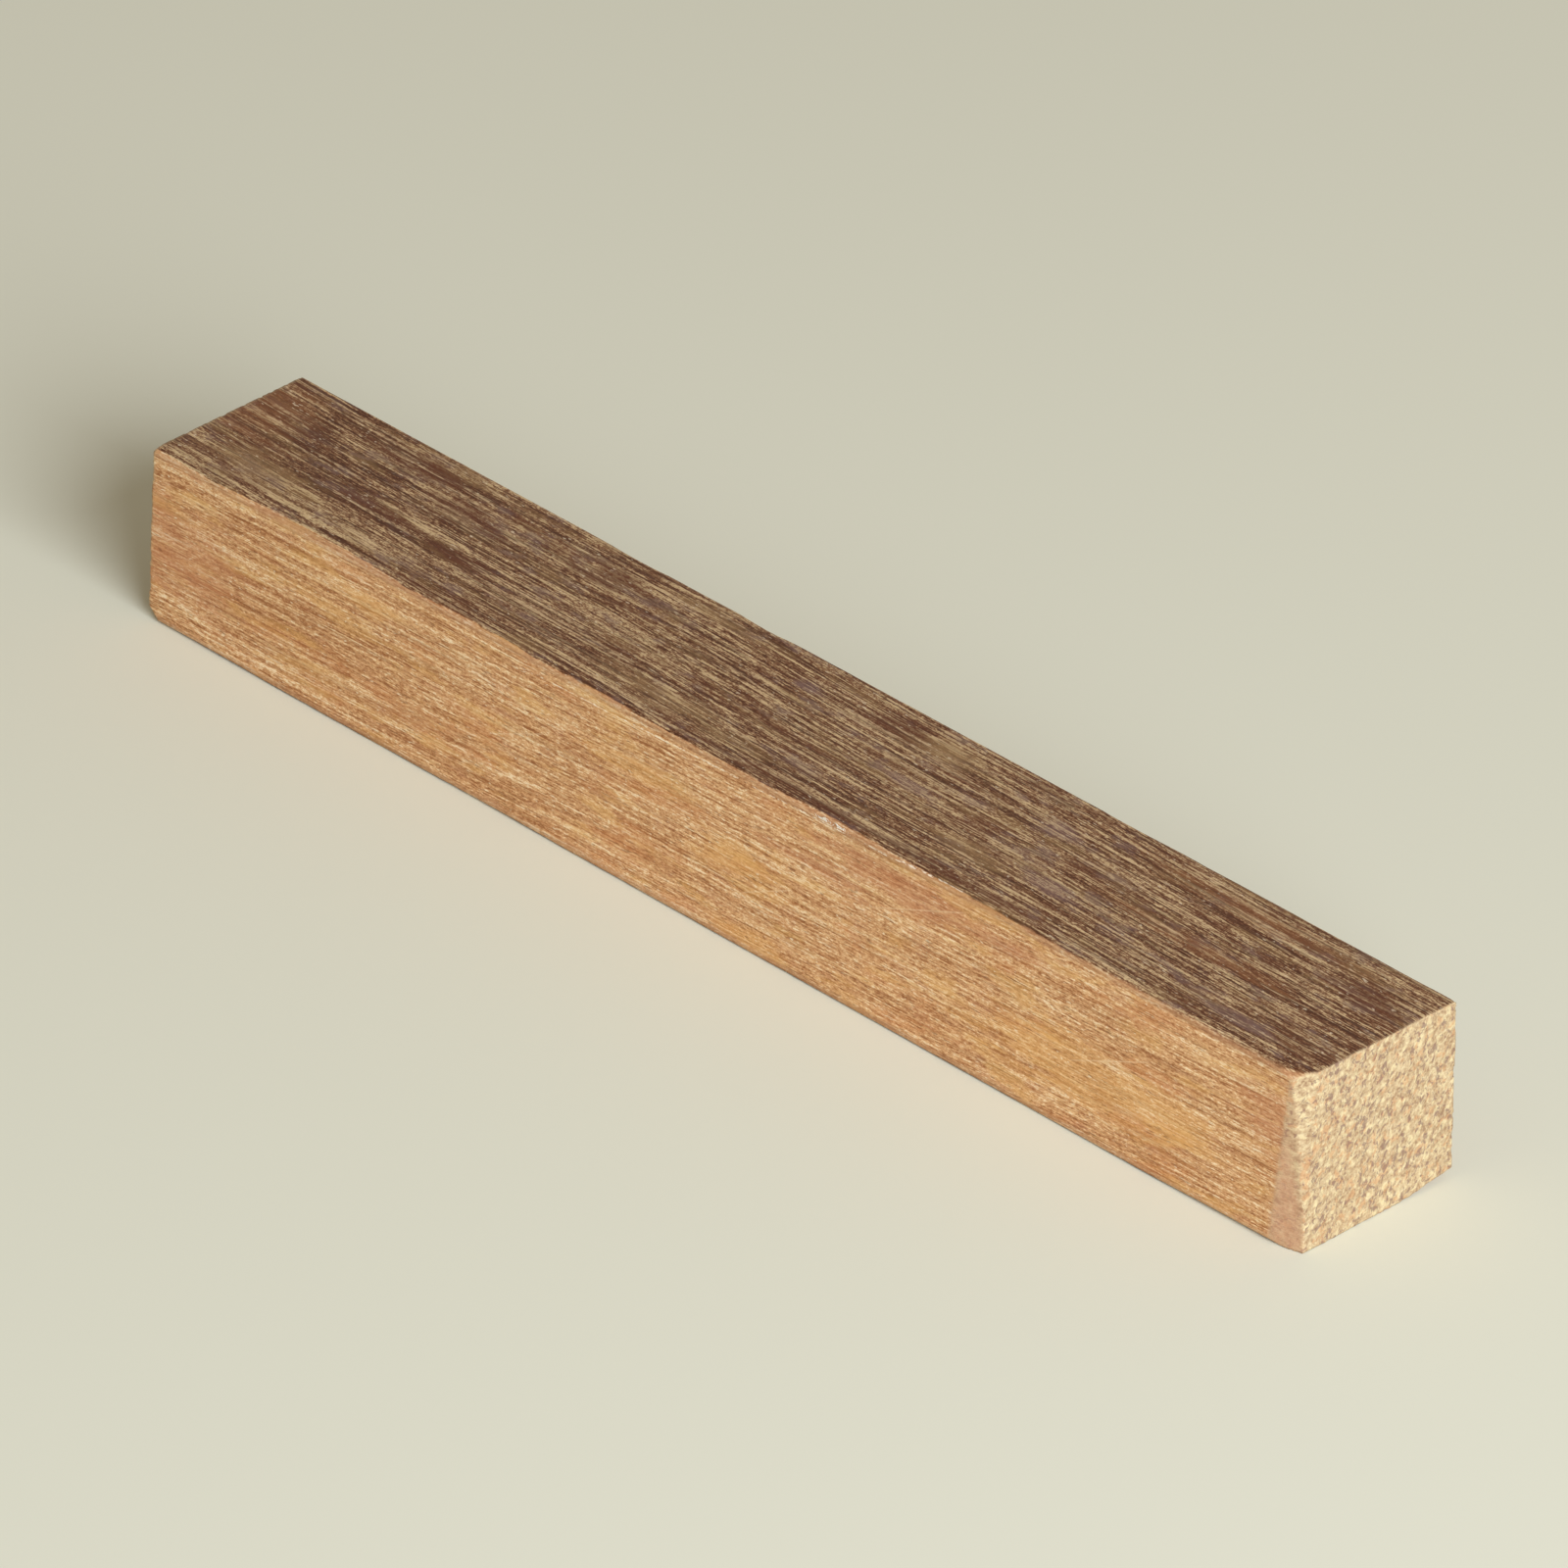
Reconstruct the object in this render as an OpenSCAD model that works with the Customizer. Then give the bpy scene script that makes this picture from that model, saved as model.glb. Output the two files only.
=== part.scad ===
// Turning blank: one stick of hardwood, sawn to a near-square section and cut to length.
// X runs along the grain and Z is up. The blank lies on its lower sawn face, and the
// origin is the middle of that face. The near end is at +X and the front face at -Y.

/* [Sawn bar] */
// Length along the grain
length = 150; // [100:1:300]
// Width across the lower face
width = 20; // [16:0.5:40]
// Height from the lower face to the upper one
height = 19; // [16:0.5:40]
// How far the back face leans in on its way up
back_lean = 0.5; // [0:0.1:2]
// Break left by the saw along each long arris
arris = 0.2; // [0.1:0.05:0.5]

/* [End cuts] */
// How far the far end leans in on its way up
far_lean = 0.8; // [0.1:0.1:2]
// How far the front side of the near end is cut short
near_skew = 0.5; // [0.1:0.05:2]

/* [Hand-eased arrises] */
// Widest flat that the sanding block left on the upper front arris, measured on the top face
ease_width = 1.6; // [0.8:0.1:3]
// Half the length of the longest pass of the block
ease_reach = 17; // [10:1:30]
// Slope of the front flats, down from the top face
ease_slope = 28; // [15:1:45]
// Widest chip out of the upper back arris, measured on the top face
chip_width = 0.4; // [0.2:0.05:1]
// Widest rub on the lower front arris, measured up the front face
rub_width = 0.5; // [0.25:0.05:1]

/* [Worn near corner] */
// Wear on the front face at the foot of the corner, along the grain
foot_wear = 3.5; // [1:0.1:6]
// Wear on the end face at the foot of the corner, across the grain
foot_depth = 0.95; // [0.2:0.05:2]
// Wear on the front face at the head of the corner, along the grain
head_wear = 1.5; // [0.5:0.1:3]
// Wear on the end face at the head of the corner, across the grain
head_depth = 2; // [0.5:0.1:4]

/* [Knocked corners] */
// Knock at the far end, low on the front
far_knock = 1.7; // [0.5:0.1:3]
// Height of the flat that lifts the near end's lower back corner
back_lift = 0.9; // [0.3:0.1:2]
// Width of that flat across the lower face
back_lift_width = 6.5; // [2:0.5:10]

/* [Hidden] */
wood = "peru";

// Fine enough that the long shallow passes keep their true curve
$fa = 0.5;
$fs = 0.1;

half_l = length / 2;
half_w = width / 2;
// Anything longer than the blank, for blocks that cut right through
past = 2 * (length + width + height);

// Wear along the arrises: place as a share of the length from the far end, width as a
// share of that arris's widest, half length as a share of the block's longest pass
FRONT_PASSES = [
    [0.00, 0.34, 0.60],
    [0.15, 0.56, 0.94],
    [0.30, 0.33, 0.90],
    [0.40, 0.29, 0.80],
    [0.50, 0.20, 0.70],
    [0.61, 0.44, 0.60],
    [0.69, 0.29, 0.80],
    [0.76, 0.29, 0.70],
    [0.87, 0.33, 0.90],
    [0.95, 0.42, 0.80],
    [1.00, 0.47, 0.50],
    [1.00, 1.00, 0.24]
];
BACK_CHIPS = [
    [0.31, 0.96, 0.40],
    [0.42, 0.98, 0.30],
    [0.73, 0.77, 0.42]
];
LOW_RUBS = [
    [0.04, 0.66, 1.10],
    [0.31, 0.62, 0.90],
    [0.99, 0.98, 1.30]
];
// How far up the near corner each worn flat would run out, in blank heights
FOOT_RUNOUT = 1.9;
HEAD_RUNOUT = 1.4;
// How far the lifted flat runs along the grain, for each unit of its width
LIFT_RUN = 2;

// The four-sided section, front face upright and back face leaning, arrises broken
module section() {
    top_back = half_w - back_lean;
    polygon([
        [-half_w + arris, 0],
        [half_w - arris, 0],
        [half_w, arris],
        [top_back, height - arris],
        [top_back - arris, height],
        [-half_w + arris, height],
        [-half_w, height - arris],
        [-half_w, arris]
    ]);
}

// The bar between two saw cuts: a leaning one at the far end, a skewed one at the near end
module sawn_bar() {
    intersection() {
        rotate([90, 0, 90])
            linear_extrude(height = length, center = true)
                section();
        rotate([90, 0, 0])
            linear_extrude(height = 2 * width, center = true)
                polygon([[-half_l, 0], [half_l, 0], [half_l, height], [-half_l + far_lean, height]]);
        translate([0, 0, -height])
            linear_extrude(height = 3 * height)
                polygon([
                    [-half_l, -half_w],
                    [half_l - near_skew, -half_w],
                    [half_l, half_w],
                    [-half_l, half_w]
                ]);
    }
}

// One pass over an upper arris: a long shallow hollow, deepest in its middle. The arris lies
// at the place across, and the hollow slopes down from the top face towards that side.
// The block is longer than any flat is wide.
module pass(along, across, slope, flat, reach) {
    depth = flat * sin(abs(slope));
    radius = (reach * reach + depth * depth) / (2 * depth);
    block = 4 * (ease_width + chip_width + rub_width);
    translate([along, across, height])
        rotate([slope, 0, 0])
            translate([0, 0, radius - depth])
                rotate([90, 0, 0])
                    cylinder(r = radius, h = block, center = true);
}

// The outside of a flat that takes a corner off. It crosses the three edges that meet at
// the corner at the distances given in off, and side says which way the corner points.
module corner_cut(corner, side, off) {
    normal = [side[0] / off[0], side[1] / off[1], side[2] / off[2]];
    tilt = acos(normal[2] / norm(normal));
    turn = atan2(normal[1], normal[0]);
    translate([corner[0] - side[0] * off[0], corner[1], corner[2]])
        rotate([0, tilt, turn])
            translate([-past / 2, -past / 2, 0])
                cube([past, past, past]);
}

module blank() {
    color(wood)
        difference() {
            sawn_bar();
            for (p = FRONT_PASSES)
                pass(p[0] * length - half_l, -half_w, ease_slope,
                     p[1] * ease_width, p[2] * ease_reach);
            for (p = BACK_CHIPS)
                pass(p[0] * length - half_l, half_w - back_lean, -45,
                     p[1] * chip_width, p[2] * ease_reach);
            // The same kind of pass, upside down, along the lower front arris
            translate([0, 0, height])
                mirror([0, 0, 1])
                    for (p = LOW_RUBS)
                        pass(p[0] * length - half_l, -half_w, 45,
                             p[1] * rub_width, p[2] * ease_reach);
            // Near front corner: shallow and long at its foot, rounder at its head
            corner_cut([half_l - near_skew, -half_w, 0], [1, -1, -1],
                       [foot_wear, foot_depth, FOOT_RUNOUT * height]);
            corner_cut([half_l - near_skew, -half_w, height], [1, -1, 1],
                       [head_wear, head_depth, HEAD_RUNOUT * height]);
            // Lower corners that took a knock
            corner_cut([-half_l, -half_w, 0], [-1, -1, -1], [far_knock, far_knock, far_knock]);
            corner_cut([half_l, half_w, 0], [1, 1, -1],
                       [LIFT_RUN * back_lift_width, back_lift_width, back_lift]);
        }
}

blank();
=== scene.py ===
"""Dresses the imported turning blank: a finely divided skin over the solid, with grain, pores, worn
arrises and torn fibres, in one procedural wood. The solid keeps its size and place."""
import math
import random

import bpy
import numpy as np
from mathutils import Matrix, Vector, noise
from mathutils.bvhtree import BVHTree


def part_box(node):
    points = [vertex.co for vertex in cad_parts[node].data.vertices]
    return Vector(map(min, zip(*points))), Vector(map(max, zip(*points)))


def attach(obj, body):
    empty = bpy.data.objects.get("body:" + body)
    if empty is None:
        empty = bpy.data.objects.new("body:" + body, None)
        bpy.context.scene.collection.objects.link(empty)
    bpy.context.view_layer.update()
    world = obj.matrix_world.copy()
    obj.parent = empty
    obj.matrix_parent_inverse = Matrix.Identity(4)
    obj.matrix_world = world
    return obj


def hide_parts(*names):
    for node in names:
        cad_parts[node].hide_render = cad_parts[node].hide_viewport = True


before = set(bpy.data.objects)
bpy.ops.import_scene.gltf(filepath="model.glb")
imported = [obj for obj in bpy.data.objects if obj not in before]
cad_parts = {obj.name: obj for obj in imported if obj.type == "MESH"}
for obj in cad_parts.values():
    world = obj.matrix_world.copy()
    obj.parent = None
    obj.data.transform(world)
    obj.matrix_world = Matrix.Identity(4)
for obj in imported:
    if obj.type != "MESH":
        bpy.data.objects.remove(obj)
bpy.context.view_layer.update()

MM = 0.001
NODE = "blank"
LOW, HIGH = (np.array(corner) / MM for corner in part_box(NODE))

# Spacing of the skin's points, in millimetres: across the grain, and along it near the ends and between them
ACROSS = 0.18
ALONG_FINE = 0.20
ALONG_COARSE = 1.30
FINE_ENDS = 4.0
FADE = 10.0
# The skin's points reach the solid along lines towards a box this much smaller, in millimetres
CORE_INSET = 5.0

# Where each side of the skin lies on the map that its colours are baked to: left, bottom, right, top.
# Both ends, front, back, bottom and top, then the torn fibres
MAP_PLACES = ((0.005, 0.788, 0.475, 0.995), (0.485, 0.788, 0.955, 0.995), (0.005, 0.558, 0.995, 0.778),
              (0.005, 0.150, 0.995, 0.318), (0.005, 0.005, 0.995, 0.140), (0.005, 0.328, 0.995, 0.548),
              (0.965, 0.788, 0.995, 0.995))

# How often the borders of the end grain and of the polished foot are averaged over neighbouring points
CROSS_SOFTENING = 2
POLISH_SOFTENING = 14

# The photograph's camera: degrees, metres, millimetres of lens on a 36 mm sensor
CAMERA_AZIMUTH = 44.03
CAMERA_ELEVATION = 32.19
CAMERA_ROLL = 1.50
CAMERA_DISTANCE = 1.5
CAMERA_AIM = (-0.00024, 0.0, 0.0114)
CAMERA_LENS = 374.4
SENSOR = 36.0

# Light: a plain world and one broad soft lamp, low on the near right
AMBIENT = 0.34
AMBIENT_TINT = (1.0, 0.88, 0.70)
KEY_LEVEL = 1.32
KEY_TINT = (0.955, 1.012, 1.10)
KEY_FROM = (0.88, -0.32, 0.49)
KEY_DISTANCE = 1.3
KEY_SIZE = 0.9

# How far the grain runs off the blank's axis, sideways and up, for each unit along it
GRAIN_TILT = (0.020, -0.025)
# Stains, in millimetres: middle along, middle across (up on the front), half length and half width
TOP_WINE = ((-55, 6.5, 7, 2.2), (-45, 3, 6, 2), (-52, -2, 6, 1.2), (-28, 5, 6, 2.6), (-66, 2.5, 4, 2),
            (-41, -3, 5, 1.2), (9, 6, 5, 2), (69, 4, 6, 2), (25, -8.5, 30, 0.7))
TOP_TAN = ((-64, -5, 8, 1.8), (-11, -6, 8, 1.8), (15, 6, 4, 2.5), (-18, 7.4, 7, 0.9), (28, -4.5, 7, 1.5))
TOP_RUSSET = ((53, 6.5, 17, 1.4), (53, -1, 13, 1.2), (-72, 3, 5, 6))
TOP_MAUVE = ((31, 4, 3, 1.6), (37, -3.5, 4, 1.4), (15, -0.5, 4, 1.0), (63, -7, 5, 1.2), (-2, 5, 2, 1.2))
FRONT_RUSSET = ((-70, 9, 9, 6), (26, 16, 18, 2.2), (72, 13, 6, 4), (16, 13, 9, 1.2))
FRONT_GOLD = ((50, 7, 17, 4), (-9, 13, 6, 1.4), (4, 9, 6, 3), (5, 1.5, 5, 1.6), (-45, 15, 5, 1.4))
# Fine saw scratches on the front: both ends, along and up, in millimetres
SCRATCHES = (((4, 5.9), (11.2, 9.5)), ((14.4, 9.2), (17.6, 10.8)), ((20.2, 11.9), (33, 17.2)), ((45.6, 7.4), (56.3, 12.2)),
             ((-29, 8), (-21, 11.6)))
# A pale streak on the front: where it starts, along and up, and its rise to the torn fibres on the arris
STREAK_FROM = (-25.0, 17.2)
STREAK_RISE = 0.030
# The torn fibres stand in two knots on the arris: places along, spread in millimetres, fibres and rings in each
TORN_PLACES = (14.4, 16.6)
TORN_SPREAD = 0.35
TORN_COUNT = 30
TORN_RINGS = 7
TORN_SEED = 11
# How far inside the solid's box they stay, in millimetres
INSIDE = 0.01


def srgb(red, green, blue):
    """A colour given as it looks on screen, 0 to 255, as the linear values that a shader takes."""
    def linear(c):
        c /= 255
        return c / 12.92 if c <= 0.04045 else ((c + 0.055) / 1.055) ** 2.4
    return (linear(red), linear(green), linear(blue), 1.0)


# Skin

def stations(low, high):
    """Places along the grain, close together near both ends."""
    half = (high - low) / 2
    steps = [0.0]
    while steps[-1] < half:
        blend = min(max((steps[-1] - FINE_ENDS) / FADE, 0.0), 1.0)
        steps.append(steps[-1] + ALONG_FINE + (ALONG_COARSE - ALONG_FINE) * blend)
    steps = np.array(steps) * half / steps[-1]
    return np.concatenate([low + steps, (high - steps[:-1])[::-1]])


def evenly(low, high):
    return np.linspace(low, high, int(round((high - low) / ACROSS)) + 1)


def box_skin(xs, ys, zs):
    """Points and four-sided faces over the six sides of a box, every point shared, and each face's side,
    numbered as in MAP_PLACES."""
    counts = (len(xs), len(ys), len(zs))
    index = np.full(counts, -1)
    on_side = np.zeros(counts, bool)
    for axis in range(3):
        for end in (0, -1):
            at = [slice(None)] * 3
            at[axis] = end
            on_side[tuple(at)] = True
    cells = np.argwhere(on_side)
    index[on_side] = np.arange(len(cells))
    points = np.stack([xs[cells[:, 0]], ys[cells[:, 1]], zs[cells[:, 2]]], axis=1)
    faces = []
    sides = []
    for axis in range(3):
        for end in (0, -1):
            at = [slice(None)] * 3
            at[axis] = end
            grid = index[tuple(at)]
            quads = np.stack([grid[:-1, :-1], grid[1:, :-1], grid[1:, 1:], grid[:-1, 1:]], axis=-1).reshape(-1, 4)
            faces.append(quads[:, ::-1 if is_turned(axis, end) else 1])
            sides += [2 * axis - end] * len(quads)
    return points, np.concatenate(faces), sides


def is_turned(axis, end):
    """Whether a side of the box, seen from outside, has its first free axis running to the left."""
    return (end == 0) != (axis == 1)


def laid_on_solid(points):
    """Each point moved inwards, towards a smaller box, as far as the solid's face."""
    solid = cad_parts[NODE].data
    tree = BVHTree.FromPolygons(
        [v.co for v in solid.vertices], [tuple(p.vertices) for p in solid.polygons])
    core = np.clip(points, LOW + CORE_INSET, HIGH - CORE_INSET)
    inwards = (core - points) / np.linalg.norm(core - points, axis=1)[:, None]
    starts = points - inwards
    return np.array([tree.ray_cast(Vector(p * MM), Vector(d))[0] for p, d in zip(starts, inwards)]) / MM


def fractal(points, scale, octaves=1, gain=0.5, shift=0.0):
    """Smooth noise from about -1 to 1 at each point, scale in cycles per millimetre on each axis."""
    total = np.zeros(len(points))
    size = 1.0
    scaled = points * np.array(scale) + shift
    for _ in range(octaves):
        total += size * np.array([noise.noise(Vector(p)) for p in scaled])
        scaled = scaled * 2.0 + 17.3
        size *= gain
    return total


def smooth(low, high, value):
    t = np.clip((value - low) / (high - low), 0.0, 1.0)
    return t * t * (3 - 2 * t)


def end_grain_share(normals):
    """1 where a face cuts across the grain. Upright flats show end grain even at a low angle to it."""
    across = np.abs(normals[:, 0])
    upright = 1 - smooth(0.1, 0.4, np.abs(normals[:, 2]))
    return np.maximum(smooth(0.3, 0.6, across), smooth(0.12, 0.2, across * upright))


def worn_flat(normals):
    """1 on the long flat that takes off the near front corner."""
    return smooth(0.1, 0.2, normals[:, 0]) * smooth(0.4, 0.32, normals[:, 0]) * smooth(-0.6, -0.9, normals[:, 1])


def polish(points, normals):
    """1 where the foot of the near corner is rubbed smooth, and less further up its flat."""
    flat = worn_flat(normals)
    rub = smooth(5.0, 2.6, HIGH[0] - points[:, 0] + 0.25 * points[:, 2]) * smooth(-0.7, -0.95, normals[:, 1])
    inset = HIGH[0] - points[:, 0] - 0.2 * points[:, 2] + 0.5 * fractal(points, (0.8, 0.8, 0.8), octaves=2)
    return np.maximum(np.maximum(flat, 0.6 * rub) * smooth(-0.3, 0.3, inset), 0.5 * flat)


def relief(points, normals):
    """How far each point sinks below the sawn surface, in millimetres, and where the deep grooves are."""
    cross = end_grain_share(normals)
    ridges = fractal(points, (0.07, 1.6, 1.6), octaves=2)
    grooves = smooth(0.15, 0.6, ridges)
    long_grain = 0.035 * grooves + 0.012 * (fractal(points, (0.5, 4.0, 4.0), shift=5.0) + 1)
    pits = smooth(0.05, 0.55, fractal(points, (0.3, 1.7, 1.7), octaves=2, shift=31.0))
    end_grain = 0.07 * pits + 0.03 * (fractal(points, (1.0, 3.1, 3.1), shift=9.0) + 1)
    sink = long_grain * (1 - cross) + end_grain * cross
    # Nicks and wear on the arrises, where a point lies close to two sides of the bar
    gaps = np.minimum(points - LOW, HIGH - points)
    gaps.sort(axis=1)
    near_arris = np.exp(-(gaps[:, 1] / 0.45) ** 2)
    nicks = smooth(0.12, 0.55, fractal(points, (0.33, 0.33, 0.33), octaves=3, shift=50.0))
    frayed = smooth(-0.1, 0.6, fractal(points, (1.3, 1.3, 1.3), octaves=2, shift=80.0))
    sink += near_arris * (0.03 + 0.13 * nicks + 0.05 * frayed) * (0.25 + 0.75 * smooth(1.0, 3.0, points[:, 2]))
    sink *= 1 - 0.7 * worn_flat(normals)
    return sink, grooves * (1 - cross) + pits * cross


def torn_fibres(solid):
    """Curly slivers of torn fibre on the worn arris, each a closed tapering tube."""
    draw = random.Random(TORN_SEED)
    points, faces = [], []
    for number in range(TORN_COUNT):
        along = TORN_PLACES[number % 2] + draw.gauss(0, TORN_SPREAD)
        beside = Vector((along, LOW[1] - 1, HIGH[2] + draw.uniform(-0.3, 0.9))) * MM
        root = np.array(solid.closest_point_on_mesh(beside)[1]) / MM
        run = np.array([draw.choice((-1, 1)) * draw.uniform(0.3, 0.8), draw.uniform(-0.05, 0.1),
                        draw.uniform(-0.15, 0.1)])
        lift = np.array([0.0, -draw.uniform(0.05, 0.25), draw.uniform(0.05, 0.3)])
        curl = np.array([0.0, 0.3, -0.3]) * draw.uniform(-1.0, 1.0)
        thick = draw.uniform(0.03, 0.06)
        first = len(points)
        for ring in range(TORN_RINGS):
            t = ring / TORN_RINGS
            middle = root + run * t + lift * t * t + curl * math.sin(3 * t)
            middle = np.clip(middle, LOW + INSIDE + thick, HIGH - INSIDE - thick)
            ahead = run + 2 * lift * t + 3 * curl * math.cos(3 * t)
            aside = np.cross(ahead, (0.3, 0.5, 0.8))
            aside /= np.linalg.norm(aside)
            up = np.cross(ahead / np.linalg.norm(ahead), aside)
            reach = thick * (1 - t) ** 0.6
            for side in range(4):
                turn = side * math.pi / 2
                points.append(middle + reach * (math.cos(turn) * aside + math.sin(turn) * up))
        points.append(np.clip(root + run + lift + curl * math.sin(3), LOW + INSIDE, HIGH - INSIDE))
        for ring in range(TORN_RINGS - 1):
            for side in range(4):
                a, b = first + 4 * ring + side, first + 4 * ring + (side + 1) % 4
                faces.append((a, b, b + 4, a + 4))
        last = first + 4 * TORN_RINGS - 4
        faces += [(last + side, last + (side + 1) % 4, last + 4) for side in range(4)]
        faces.append((first + 3, first + 2, first + 1, first))
    return np.array(points), faces


def make_mesh(name, points, faces):
    mesh = bpy.data.meshes.new(name)
    mesh.from_pydata((points * MM).tolist(), [], faces)
    mesh.update()
    return mesh


def vertex_normals(mesh):
    normals = np.zeros(len(mesh.vertices) * 3, np.float32)
    mesh.vertex_normals.foreach_get("vector", normals)
    return normals.reshape(-1, 3).astype(float)


def softened(mesh, values, rounds):
    """Values on the mesh's points, each averaged with its neighbours as many times as asked."""
    edges = np.zeros(len(mesh.edges) * 2, np.int32)
    mesh.edges.foreach_get("vertices", edges)
    ends = np.concatenate([edges.reshape(-1, 2), edges.reshape(-1, 2)[:, ::-1]])
    count = np.bincount(ends[:, 0], minlength=len(values))
    for _ in range(rounds):
        around = np.bincount(ends[:, 0], values[ends[:, 1]], minlength=len(values)) / count
        values = (values + around) / 2
    return values


def add_attribute(mesh, name, values):
    """Sets a value on the skin's points, which come first. It stays 0 on the torn fibres."""
    layer = mesh.attributes.new(name, "FLOAT", "POINT")
    padded = np.concatenate([values, np.zeros(len(mesh.vertices) - len(values))])
    layer.data.foreach_set("value", padded.astype(np.float32))


def lay_map(mesh, flat, sides):
    """The map that the colours are baked to: each side of the box flat in its place, unturned, and the
    torn fibres spread over theirs."""
    layer = mesh.uv_layers.new(name="OFBake")
    shares = (flat - LOW) / (HIGH - LOW)
    corners = []
    for face, side in zip(mesh.polygons, sides):
        left, bottom, right, top = MAP_PLACES[side]
        axis = side // 2
        free = [a for a in range(3) if a != axis] if axis < 3 else [0, 2]
        turned = axis < 3 and is_turned(axis, -(side % 2))
        for point in face.vertices:
            across, up = shares[point][free]
            across = 1 - across if turned else across
            corners += (left + (right - left) * across, bottom + (top - bottom) * up)
    layer.data.foreach_set("uv", corners)


def make_blank():
    flat, faces, sides = box_skin(
        stations(LOW[0], HIGH[0]), evenly(LOW[1], HIGH[1]), evenly(LOW[2], HIGH[2]))
    points = laid_on_solid(flat)
    faces = faces.tolist()
    sawn = make_mesh("sawn", points, faces)
    normals = vertex_normals(sawn)
    sink, grooves = relief(points, normals)
    torn, torn_faces = torn_fibres(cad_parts[NODE])
    sunk = np.concatenate([points - normals * sink[:, None], torn])
    faces += [tuple(index + len(points) for index in face) for face in torn_faces]
    mesh = make_mesh("turning_blank", sunk, faces)
    mesh.shade_smooth()
    spread = LOW + (torn - torn.min(axis=0)) / np.ptp(torn, axis=0) * (HIGH - LOW)
    lay_map(mesh, np.concatenate([flat, spread]), sides + [len(MAP_PLACES) - 1] * len(torn_faces))
    # What the wood shader needs to know: how deep below the old faces, end grain or not, and the grooves and pits,
    # where it paints shade
    add_attribute(mesh, "depth", np.minimum(HIGH[2] - points[:, 2], points[:, 2] - LOW[2]))
    add_attribute(mesh, "cross", softened(sawn, end_grain_share(normals), CROSS_SOFTENING))
    add_attribute(mesh, "polished", softened(sawn, polish(points, normals), POLISH_SOFTENING))
    add_attribute(mesh, "groove", grooves)
    add_attribute(mesh, "skin", np.ones(len(points)))
    blank = bpy.data.objects.new("turning_blank", mesh)
    bpy.context.scene.collection.objects.link(blank)
    return blank


# Shader

class Graph:
    """A material's nodes, made by plain calls. A number, colour or socket can go in anywhere."""

    def __init__(self, material):
        self.tree = material.node_tree

    def put(self, socket, value):
        if isinstance(value, bpy.types.NodeSocket):
            self.tree.links.new(value, socket)
        elif value is not None:
            socket.default_value = value

    def node(self, kind, inputs=(), **settings):
        made = self.tree.nodes.new(kind)
        for name, value in settings.items():
            setattr(made, name, value)
        for name, value in dict(inputs).items():
            self.put(made.inputs[name], value)
        return made

    def math(self, operation, a, b=None, c=None, clamp=False):
        return self.node("ShaderNodeMath", {0: a, 1: b, 2: c}, operation=operation, use_clamp=clamp).outputs[0]

    def vector(self, operation, a, b):
        made = self.node("ShaderNodeVectorMath", {0: a, 1: b}, operation=operation)
        return made.outputs["Value" if operation == "LENGTH" else "Vector"]

    def noise(self, at, scale, detail=2.0, rough=0.55, shift=(0, 0, 0), distort=0.0):
        placed = self.vector("ADD", self.vector("MULTIPLY", at, scale), shift)
        inputs = {"Vector": placed, "Scale": 1.0, "Detail": detail, "Roughness": rough, "Distortion": distort}
        return self.node("ShaderNodeTexNoise", inputs).outputs[0]

    def blend(self, *parts):
        """Noises laid over each other about their middle, each with its own strength, from 0 to 1."""
        total = 0.5
        for noise_value, strength in parts:
            total = self.math("MULTIPLY_ADD", self.math("SUBTRACT", noise_value, 0.5), strength, total)
        return total

    def line(self, noise_value, width):
        """Thin lines where a noise passes its middle value."""
        off = self.math("ABSOLUTE", self.math("SUBTRACT", noise_value, 0.5))
        return self.step(off, width, width / 4)

    def ramp(self, value, *stops):
        made = self.node("ShaderNodeValToRGB", {0: value})
        elements = made.color_ramp.elements
        for number, (place, colour) in enumerate(stops):
            stop = elements[number] if number < 2 else elements.new(place)
            stop.position = place
            stop.color = colour
        return made.outputs[0]

    def step(self, value, low, high, start=0.0, end=1.0):
        inputs = {"Value": value, "From Min": low, "From Max": high, "To Min": start, "To Max": end}
        return self.node("ShaderNodeMapRange", inputs, interpolation_type="SMOOTHSTEP").outputs[0]

    def mix(self, a, b, amount):
        made = self.node("ShaderNodeMix", data_type="RGBA")
        self.put(made.inputs[0], amount)
        self.put(made.inputs[6], a)
        self.put(made.inputs[7], b)
        return made.outputs[2]

    def attribute(self, name):
        return self.node("ShaderNodeAttribute", attribute_name=name).outputs["Fac"]


def new_material(name):
    material = bpy.data.materials.new(name)
    material.use_nodes = True
    material.node_tree.nodes.clear()
    return material


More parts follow.
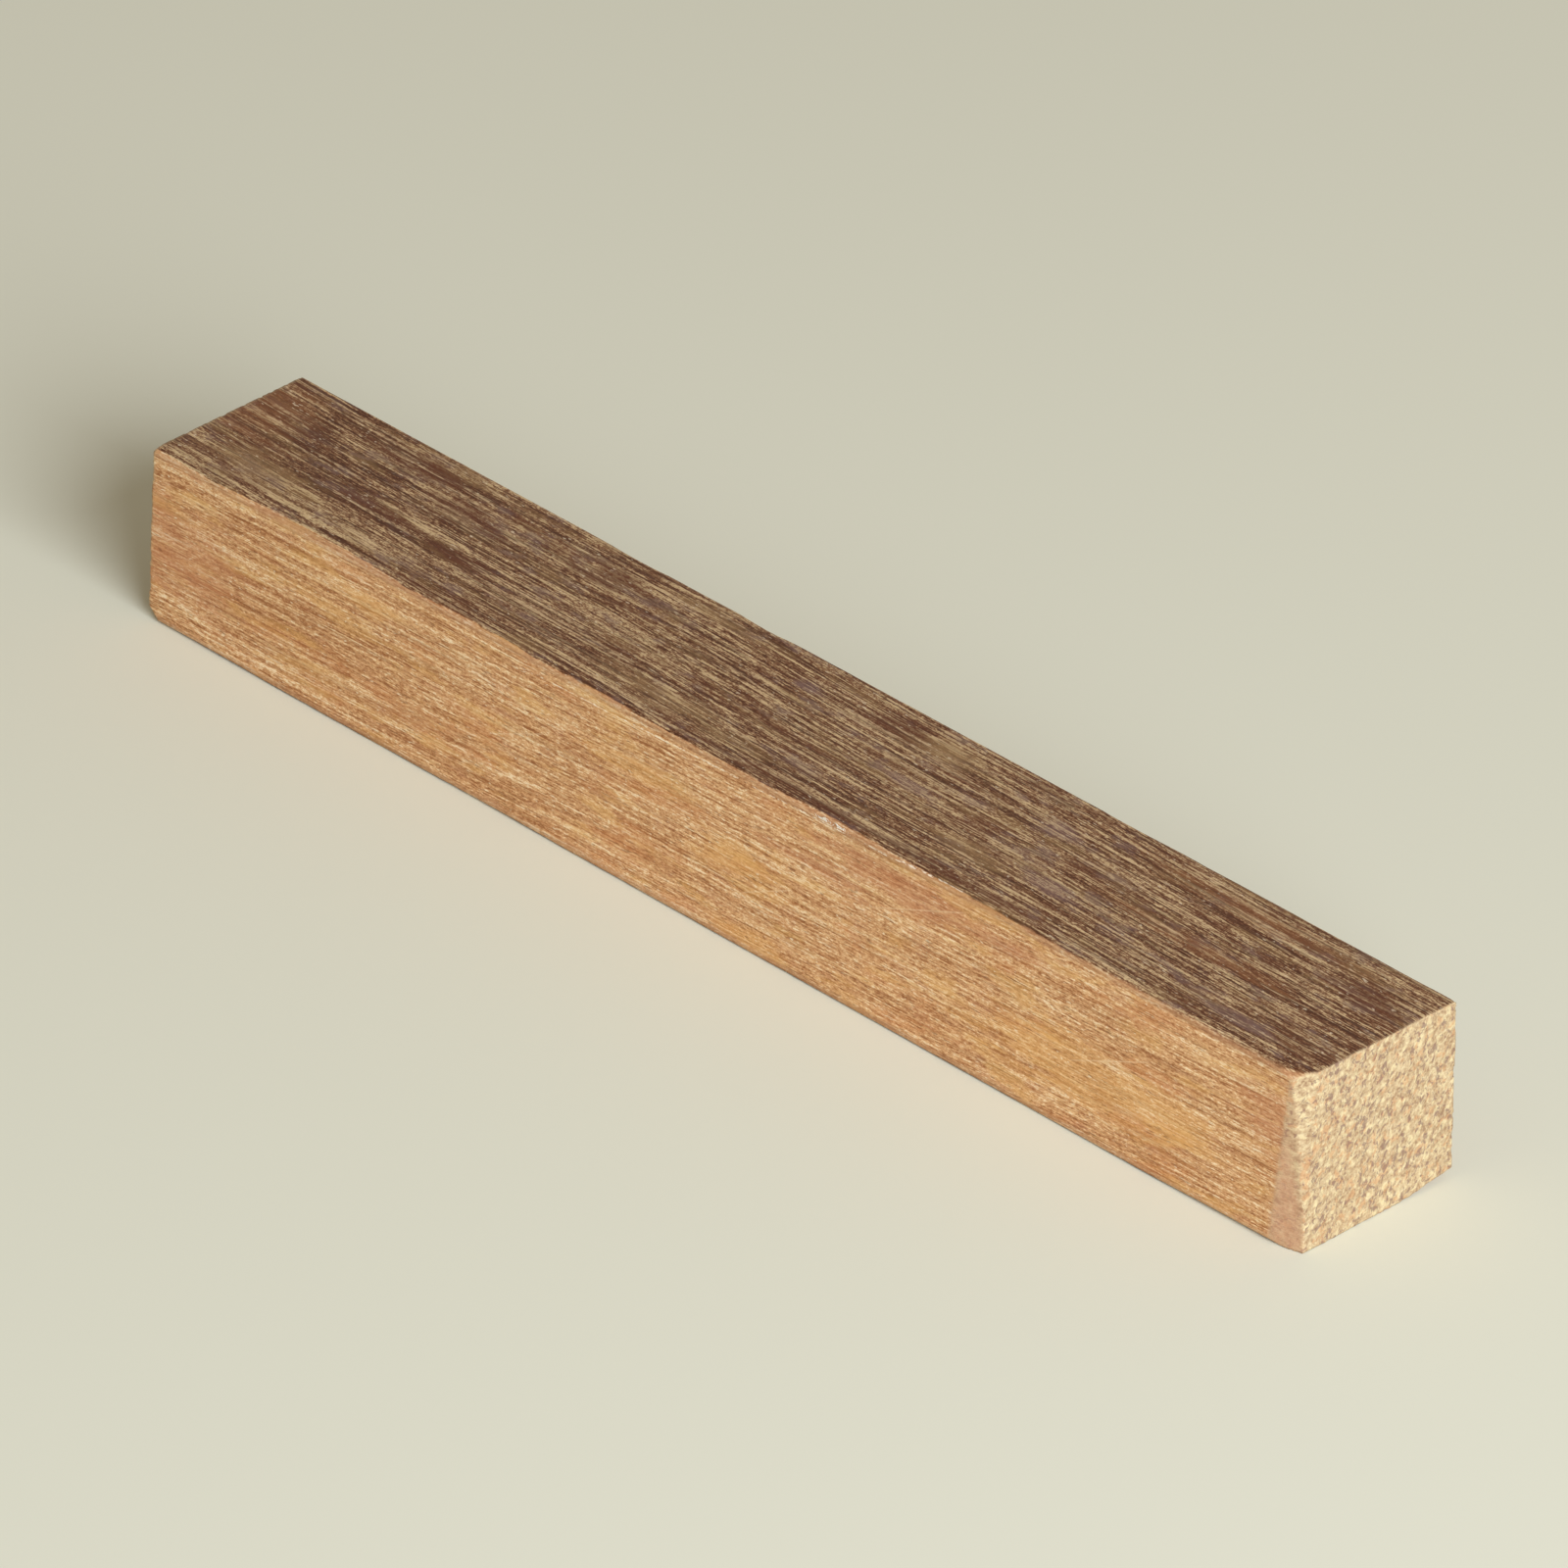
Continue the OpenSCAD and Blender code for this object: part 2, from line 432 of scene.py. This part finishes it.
class Wood(Graph):
    """The graph of the hardwood, with what its long grain and end grain share."""

    def __init__(self, material):
        super().__init__(material)
        self.at = self.vector("MULTIPLY", self.node("ShaderNodeTexCoord").outputs["Object"], (1000, 1000, 1000))
        self.x, self.y, self.z = self.node("ShaderNodeSeparateXYZ", {0: self.at}).outputs
        # The grain runs a little off the blank's axis, bends slowly and ripples finely
        tilt = self.node("ShaderNodeCombineXYZ", {
            1: self.math("MULTIPLY", self.x, GRAIN_TILT[0]), 2: self.math("MULTIPLY", self.x, GRAIN_TILT[1])}).outputs[0]
        bend = self.drift((0.022, 0.06, 0.06), 1.6)
        ripple = self.drift((0.30, 0.5, 0.5), 0.16)
        self.grain = self.vector("ADD", self.vector("ADD", self.at, tilt), self.vector("ADD", bend, ripple))
        self.far = self.step(self.x, 5, -45)
        self.lines = self.noise(self.grain, (0.024, 2.5, 2.5), detail=2, rough=0.8, shift=(3, 7, 1))
        self.hairs = self.noise(self.grain, (0.06, 6.5, 6.5), detail=1, rough=0.6, shift=(8, 1, 6))
        self.bands = self.noise(self.grain, (0.025, 0.8, 0.8), detail=2, rough=0.6, shift=(9, 2, 5))
        self.speck = self.noise(self.grain, (1.3, 5.0, 5.0), detail=1, rough=0.7, shift=(4, 4, 4))
        self.grit = self.noise(self.grain, (3.6, 6.5, 6.5), detail=1, rough=0.6, shift=(1, 1, 8))
        self.patches = self.noise(self.grain, (0.10, 0.32, 0.32), detail=4, rough=0.6, shift=(1, 8, 3))
        self.mottle = self.noise(self.at, (0.24, 0.6, 0.6), detail=4, rough=0.65, shift=(5, 5, 5))
        self.tints = self.noise(self.grain, (0.13, 0.5, 0.5), detail=3, rough=0.6, shift=(6, 3, 9))
        # Light and dark fibres that run long and break up into beads and pores, and painted highlights: bright glints
        # on fibre ends, painted into the colour
        self.beads = self.step(self.noise(self.grain, (1.3, 3.5, 3.5), detail=1, shift=(2, 2, 9)), 0.40, 0.60)
        light = self.noise(self.grain, (0.028, 3.4, 3.4), detail=1, shift=(2, 9, 4))
        self.light = self.math("MULTIPLY", self.step(light, 0.58, 0.68), self.math("MULTIPLY_ADD", self.beads, 0.75, 0.25))
        self.dark = self.step(self.noise(self.grain, (0.028, 2.6, 2.6), detail=1, shift=(5, 1, 2)), 0.41, 0.33)
        self.pores = self.step(self.noise(self.grain, (0.7, 5.5, 5.5), detail=1, shift=(7, 2, 7)), 0.36, 0.29)
        crowd = self.step(self.noise(self.at, (0.5, 0.9, 0.9), detail=1, shift=(7, 3, 1)), 0.46, 0.62)
        painted_glints = self.step(self.noise(self.grain, (1.8, 5.5, 5.5), detail=0, shift=(3, 6, 3)), 0.70, 0.80)
        self.painted_glints = self.math("MULTIPLY", painted_glints, crowd)
        self.ragged = self.math("SUBTRACT", self.noise(self.grain, (0.14, 0.8, 0.8), detail=3, rough=0.65,
                                                       shift=(4, 9, 6)), 0.5)

    def drift(self, scale, reach):
        """A slow sideways shift of the grain, up to about half of reach to each side."""
        noise = self.node("ShaderNodeTexNoise", {
            "Vector": self.vector("MULTIPLY", self.at, scale), "Scale": 1.0, "Detail": 1.0}).outputs[1]
        return self.vector("MULTIPLY", self.vector("SUBTRACT", noise, (0.5, 0.5, 0.5)), (0, reach, reach))

    def stains(self, across, places):
        """Soft ragged patches. Each place is its middle along and across, and half its length and width."""
        total = 0.0
        for middle, side, length, width in places:
            along = self.math("MULTIPLY", self.math("SUBTRACT", self.x, middle), 1 / length)
            aside = self.math("MULTIPLY", self.math("SUBTRACT", across, side), 1 / width)
            off = self.vector("LENGTH", self.node("ShaderNodeCombineXYZ", {0: along, 1: aside}).outputs[0], None)
            off = self.math("MULTIPLY_ADD", self.ragged, 2.6, off)
            total = self.math("MAXIMUM", self.step(off, 1.15, 0.35), total)
        return total

    def scratches(self, places):
        """Thin straight lines on the front, each from one place to another, along and up."""
        total = 0.0
        for start, end in places:
            length = math.dist(start, end)
            ahead = ((end[0] - start[0]) / length, 0, (end[1] - start[1]) / length)
            aside = (-ahead[2], 0, ahead[0])
            from_start = self.vector("SUBTRACT", self.at, (start[0], 0, start[1]))
            along = self.node("ShaderNodeVectorMath", {0: from_start, 1: ahead}, operation="DOT_PRODUCT").outputs["Value"]
            off = self.node("ShaderNodeVectorMath", {0: from_start, 1: aside}, operation="DOT_PRODUCT").outputs["Value"]
            inside = self.math("MULTIPLY", self.step(along, 0, 1.5), self.step(along, length, length - 1.5))
            line = self.math("MULTIPLY", inside, self.step(self.math("ABSOLUTE", off), 0.10, 0.03))
            total = self.math("MAXIMUM", line, total)
        return self.math("MULTIPLY", total, self.step(self.y, -9, -9.6))

    def coat(self, colour, *layers):
        """Colours laid over each other in turn, each with its mask and strength."""
        for layer, mask, strength in layers:
            colour = self.mix(colour, layer, self.math("MULTIPLY", mask, strength))
        return colour


def fresh_wood(g):
    """The light front: long grain that was cut or planed lately."""
    tone = g.blend((g.lines, 1.35), (g.hairs, 1.35), (g.bands, g.math("MULTIPLY_ADD", g.far, 0.8, 0.4)), (g.speck, 1.5),
                   (g.grit, 1.1))
    base = g.ramp(tone, (0.0, srgb(158, 102, 59)), (0.22, srgb(184, 131, 86)), (0.45, srgb(207, 156, 109)),
                  (0.62, srgb(221, 173, 124)), (0.82, srgb(238, 200, 151)), (1.0, srgb(250, 224, 186)))
    return g.coat(
        base,
        (srgb(204, 132, 80), g.step(g.patches, 0.52, 0.66), 0.35),
        (srgb(226, 176, 104), g.step(g.tints, 0.52, 0.68), 0.4),
        (srgb(200, 148, 118), g.step(g.mottle, 0.52, 0.68), 0.25),
        (srgb(196, 132, 94), g.stains(g.z, FRONT_RUSSET), 0.45),
        (srgb(228, 172, 98), g.stains(g.z, FRONT_GOLD), 0.4),
        (srgb(240, 202, 146), g.light, 0.42),
        (srgb(156, 102, 62), g.dark, 0.24),
        (srgb(124, 78, 46), g.pores, 0.55),
        # Painted highlight: bright glints on fibre ends, painted in as pale flecks
        (srgb(250, 230, 194), g.painted_glints, 0.7))


def old_skin(g):
    """The dark top: the old face of the board, oxidised and worn in stripes."""
    tone = g.blend((g.lines, g.math("MULTIPLY_ADD", g.far, -0.8, 3.0)), (g.hairs, 2.2),
                   (g.bands, g.math("MULTIPLY_ADD", g.far, 1.6, 0.8)), (g.speck, 1.8), (g.grit, 1.5))
    base = g.ramp(tone, (0.0, srgb(68, 35, 18)), (0.25, srgb(94, 56, 34)), (0.47, srgb(121, 85, 59)),
                  (0.64, srgb(139, 105, 76)), (0.82, srgb(163, 131, 97)), (1.0, srgb(200, 172, 130)))
    return g.coat(
        base,
        (srgb(94, 50, 28), g.step(g.patches, 0.52, 0.66), 0.45),
        (srgb(140, 110, 72), g.step(g.tints, 0.52, 0.68), 0.4),
        (srgb(118, 94, 87), g.step(g.mottle, 0.53, 0.67), 0.5),
        (srgb(84, 42, 24), g.stains(g.y, TOP_WINE), 0.65),
        (srgb(148, 117, 80), g.stains(g.y, TOP_TAN), 0.5),
        (srgb(130, 82, 50), g.stains(g.y, TOP_RUSSET), 0.5),
        (srgb(124, 98, 92), g.stains(g.y, TOP_MAUVE), 0.5),
        (srgb(206, 177, 138), g.light, 0.7),
        (srgb(66, 37, 20), g.dark, 0.5),
        (srgb(62, 38, 24), g.pores, 0.5),
        # Painted highlight: bright glints on fibre ends, painted in as pale flecks
        (srgb(222, 202, 172), g.painted_glints, 0.65))


def end_grain(g):
    """The sawn ends: pale crumbs of cut fibre, with darker flecks low down and along the growth rings.
    Gives the colour and how high the crumbs stand."""
    slant = g.vector("ADD", g.at, g.node("ShaderNodeCombineXYZ", {1: g.math("MULTIPLY", g.z, -0.2)}).outputs[0])
    crumbs = g.noise(slant, (1.1, 1.55, 1.25), detail=2, rough=0.6, shift=(2, 2, 2), distort=0.3)
    grit = g.noise(slant, (2.6, 3.6, 3.2), detail=2, rough=0.65, shift=(8, 5, 2), distort=0.3)
    flecks = g.noise(slant, (1.4, 1.9, 1.5), detail=2, rough=0.6, shift=(6, 1, 4), distort=0.6)
    orange = g.noise(slant, (1.0, 1.25, 1.1), detail=2, rough=0.6, shift=(3, 9, 9))
    clouds = g.noise(g.at, (0.1, 0.18, 0.18), detail=2, shift=(7, 7, 2))
    base = g.ramp(g.blend((crumbs, 1.7), (grit, 2.0), (clouds, 0.5)), (0.0, srgb(152, 122, 92)),
                  (0.25, srgb(176, 149, 114)), (0.5, srgb(191, 166, 129)), (0.75, srgb(200, 179, 141)),
                  (1.0, srgb(213, 195, 156)))
    from_pith = g.vector("LENGTH", g.vector("ADD", g.at, (-75, -12, -8)), None)
    ring = g.math("SINE", g.math("MULTIPLY", from_pith, 2.3))
    # Fewer flecks in the strip beside the front arris
    beside = g.step(g.y, -6.5, -9.5, 0.0, -0.04)
    dense = g.math("ADD", g.math("MULTIPLY_ADD", clouds, 0.2, g.math("MULTIPLY_ADD", grit, 0.35, flecks)), g.math("MULTIPLY_ADD", ring, 0.018, beside))
    colour = g.coat(base, (srgb(214, 197, 150), g.step(crumbs, 0.55, 0.63), 0.5),
                    (srgb(197, 147, 102), g.step(orange, 0.55, 0.64), 0.5),
                    (srgb(120, 90, 82), g.step(dense, 0.812, 0.92), 0.7))
    return colour, g.math("ADD", crumbs, grit)


def wood_material():
    material = new_material("hardwood")
    g = Wood(material)
    ends, crumbs = end_grain(g)
    # The dark skin is left only where the old face is untouched, and its border is ragged
    fray = g.math("SUBTRACT", g.noise(g.grain, (0.5, 2.5, 2.5), detail=3, shift=(8, 3, 3)), 0.5)
    depth = g.math("MULTIPLY_ADD", fray, 0.25, g.attribute("depth"))
    old = g.step(depth, g.step(g.x, 20, 65, 0.14, 0.32), 0.05)
    rubbed = g.math("MULTIPLY", g.step(depth, 0.05, 0.2), g.step(depth, 1.0, 0.5))
    # A pale streak climbs the front to the torn fibres on the arris
    climb = g.math("MULTIPLY_ADD", g.math("SUBTRACT", g.x, STREAK_FROM[0]), STREAK_RISE, STREAK_FROM[1])
    off = g.math("ABSOLUTE", g.math("MULTIPLY_ADD", g.ragged, 0.5, g.math("SUBTRACT", g.z, climb)))
    streak = g.math("MULTIPLY", g.step(off, 0.10, 0.03), g.step(g.x, STREAK_FROM[0] - 4, STREAK_FROM[0] + 6))
    broken = g.math("MULTIPLY", g.beads, g.step(g.grit, 0.34, 0.48))
    streak = g.math("MULTIPLY", streak, g.math("MULTIPLY", broken, g.step(g.y, -9, -9.6)))
    colour = g.coat(fresh_wood(g), (srgb(170, 127, 93), rubbed, 0.5), (srgb(255, 240, 214), streak, 0.8),
                    (srgb(248, 218, 176), g.scratches(SCRATCHES), 0.35))
    colour = g.mix(colour, old_skin(g), old)
    colour = g.mix(colour, ends, g.attribute("cross"))
    colour = g.coat(colour, (srgb(194, 144, 112), g.attribute("polished"), 0.65),
                    # Painted shade: darker in the grooves and end-grain pits
                    (srgb(100, 68, 44), g.attribute("groove"), 0.12),
                    (srgb(250, 240, 222), g.math("SUBTRACT", 1.0, g.attribute("skin")), 0.9))

    height = g.math("ADD", g.math("MULTIPLY", g.lines, 0.8), g.math("MULTIPLY", g.hairs, 0.5))
    height = g.math("MULTIPLY_ADD", g.math("MULTIPLY", crumbs, g.attribute("cross")), 0.15, height)
    bump = g.node("ShaderNodeBump", {"Strength": 0.8, "Distance": 0.00012, "Height": height}).outputs[0]
    surface = g.node("ShaderNodeBsdfPrincipled", {
        "Base Color": colour, "Roughness": g.math("MULTIPLY_ADD", g.hairs, 0.3, 0.45), "Normal": bump,
        "Specular IOR Level": 0.2})
    g.put(g.node("ShaderNodeOutputMaterial").inputs[0], surface.outputs[0])
    return material


# Stage

def make_floor():
    mesh = bpy.data.meshes.new("floor")
    reach = 4.0
    mesh.from_pydata([(-reach, -reach, 0), (reach, -reach, 0), (reach, reach, 0), (-reach, reach, 0)], [], [(0, 1, 2, 3)])
    floor = bpy.data.objects.new("floor", mesh)
    bpy.context.scene.collection.objects.link(floor)
    material = new_material("floor")
    g = Graph(material)
    paint = g.node("ShaderNodeBsdfDiffuse", {"Color": srgb(225, 224, 206)})
    g.put(g.node("ShaderNodeOutputMaterial").inputs[0], paint.outputs[0])
    mesh.materials.append(material)


def light_scene():
    scene = bpy.context.scene
    world = bpy.data.worlds.new("studio")
    scene.world = world
    world.use_nodes = True
    g = Graph(world)
    world.node_tree.nodes.clear()
    path = g.node("ShaderNodeLightPath")
    seen = g.math("ADD", path.outputs["Is Camera Ray"], path.outputs["Is Glossy Ray"], clamp=True)
    seen = g.math("ADD", seen, path.outputs["Is Transmission Ray"], clamp=True)
    level = g.math("MULTIPLY_ADD", seen, 1.0 - AMBIENT, AMBIENT)
    light = g.node("ShaderNodeBackground", {"Color": (*AMBIENT_TINT, 1), "Strength": level})
    g.put(g.node("ShaderNodeOutputWorld").inputs[0], light.outputs[0])
    lamp = bpy.data.lights.new("key", "AREA")
    lamp.shape = "DISK"
    lamp.size = KEY_SIZE
    lamp.color = KEY_TINT
    lamp.energy = KEY_LEVEL * (math.pi * KEY_DISTANCE) ** 2
    key = bpy.data.objects.new("key", lamp)
    towards = Vector(KEY_FROM).normalized()
    key.location = towards * KEY_DISTANCE
    key.visible_camera = False
    key.rotation_mode = "QUATERNION"
    key.rotation_quaternion = towards.to_track_quat("Z", "Y")
    scene.collection.objects.link(key)


def make_camera():
    data = bpy.data.cameras.new("camera")
    data.sensor_width = SENSOR
    data.lens = CAMERA_LENS
    camera = bpy.data.objects.new("camera", data)
    azimuth, elevation, roll = (math.radians(a) for a in (CAMERA_AZIMUTH, CAMERA_ELEVATION, CAMERA_ROLL))
    back = Vector((math.sin(azimuth) * math.cos(elevation), -math.cos(azimuth) * math.cos(elevation),
                   math.sin(elevation)))
    right = Vector((0, 0, 1)).cross(back).normalized()
    turned = Matrix((right, back.cross(right), back)).transposed() @ Matrix.Rotation(roll, 3, "Z")
    camera.matrix_world = Matrix.Translation(Vector(CAMERA_AIM) + back * CAMERA_DISTANCE) @ turned.to_4x4()
    data.clip_start = 0.01
    data.clip_end = 20
    bpy.context.scene.collection.objects.link(camera)
    bpy.context.scene.camera = camera


make_camera()
light_scene()
make_floor()
blank = make_blank()
blank.data.materials.append(wood_material())
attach(blank, "root")
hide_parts(NODE)
bpy.context.scene.view_settings.view_transform = "Standard"
